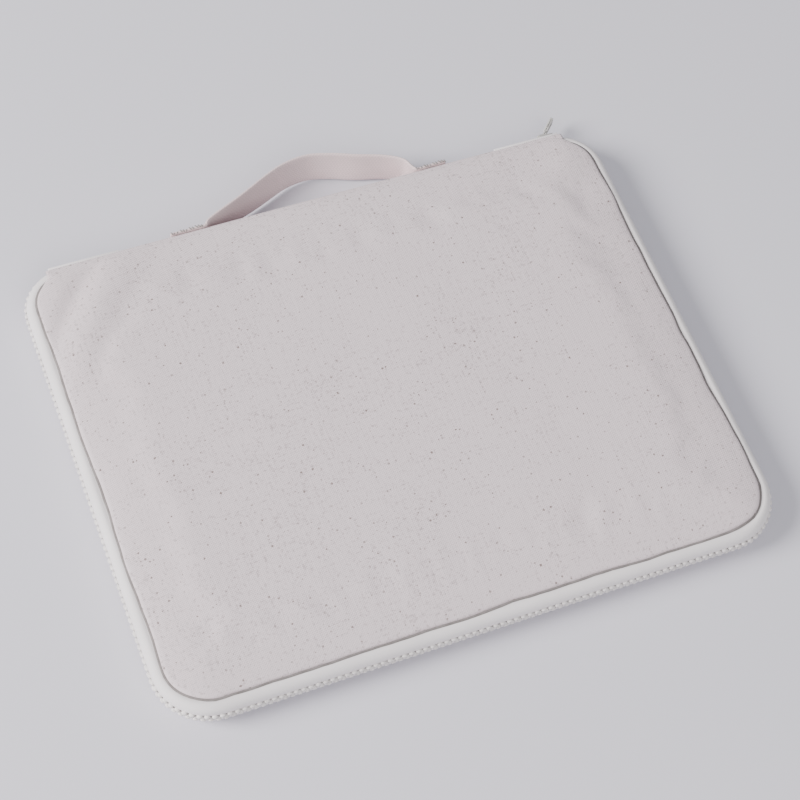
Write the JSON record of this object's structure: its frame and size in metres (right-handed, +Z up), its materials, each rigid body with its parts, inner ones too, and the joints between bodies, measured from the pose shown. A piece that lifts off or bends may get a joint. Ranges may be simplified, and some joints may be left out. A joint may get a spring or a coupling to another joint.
{
  "type": "laptop sleeve",
  "caption": "Padded canvas laptop sleeve, zipped round three sides, with a webbing carrying handle on its spine; opens flat like a book.",
  "frame": {"origin": "on the floor, under the middle of the panels' seam rectangle, on the outer face of the back panel", "axes": "+Z up, out of the front panel; +Y towards the spine and its handle; +X along the long side, towards the slider's end of the spine"},
  "size_m": [0.3348, 0.2938, 0.022],
  "materials": {
    "canvas": "natural undyed cotton canvas, plain weave with small dark flecks",
    "foam": "closed foam sheet",
    "lining": "thin plain cotton lining",
    "binding": "cotton seam binding",
    "zip_tape": "cream woven zip tape",
    "zip_teeth": "cream moulded resin",
    "webbing": "cream-pink cotton webbing",
    "thread": "grey sewing thread",
    "slider_metal": "cream enamelled zinc, worn at the edges",
    "stop_metal": "satin"
  },
  "bodies": {
    "back_shell": {"back_panel": "canvas", "back_padding": "foam", "back_lining": "lining", "back_seam_binding": "binding", "back_zip_tape": "zip_tape", "back_zip_teeth": "zip_teeth"},
    "spine": {"spine_strip": "canvas", "spine_padding": "foam", "spine_lining": "lining", "left_zip_end_tapes": "zip_tape", "right_zip_end_tapes": "zip_tape", "left_zip_end_teeth": "zip_teeth", "right_zip_end_teeth": "zip_teeth", "zip_top_stops": "stop_metal", "zip_bottom_stop": "zip_teeth", "handle_end_left": "webbing", "handle_end_right": "webbing", "handle_backing_left": "webbing", "handle_backing_right": "webbing", "handle_bartacks_left": "thread", "handle_bartacks_right": "thread"},
    "front_shell": {"front_panel": "canvas", "front_padding": "foam", "front_lining": "lining", "front_seam_binding": "binding", "front_zip_tape": "zip_tape", "front_zip_teeth": "zip_teeth"},
    "handle": {"handle_loop": "webbing"},
    "slider": {"slider_body": "slider_metal", "slider_crown": "slider_metal"},
    "pull": {"pull_tab": "slider_metal"}
  },
  "joints": [
    {"name": "spine_fold", "type": "hinge", "parent": "back_shell", "child": "spine", "pos_m": [0, 0.13135, 0.002], "axis": [-1, 0, 0], "range_deg": [0, 90]},
    {"name": "cover_fold", "type": "hinge", "parent": "spine", "child": "front_shell", "pos_m": [0, 0.13135, 0.02], "axis": [-1, 0, 0], "range_deg": [0, 90]},
    {"name": "handle_swing", "type": "hinge", "parent": "spine", "child": "handle", "pos_m": [0, 0.1322, 0.011], "axis": [1, 0, 0], "range_deg": [-30, 30]},
    {"name": "slider_travel", "type": "slide", "parent": "spine", "child": "slider", "axis": [-1, 0, 0], "range_m": [0, 0.015]},
    {"name": "pull_swing", "type": "hinge", "parent": "slider", "child": "pull", "pos_m": [0.142, 0.13645, 0.011], "axis": [0, 0, 1], "range_deg": [-40, 130]}
  ]
}
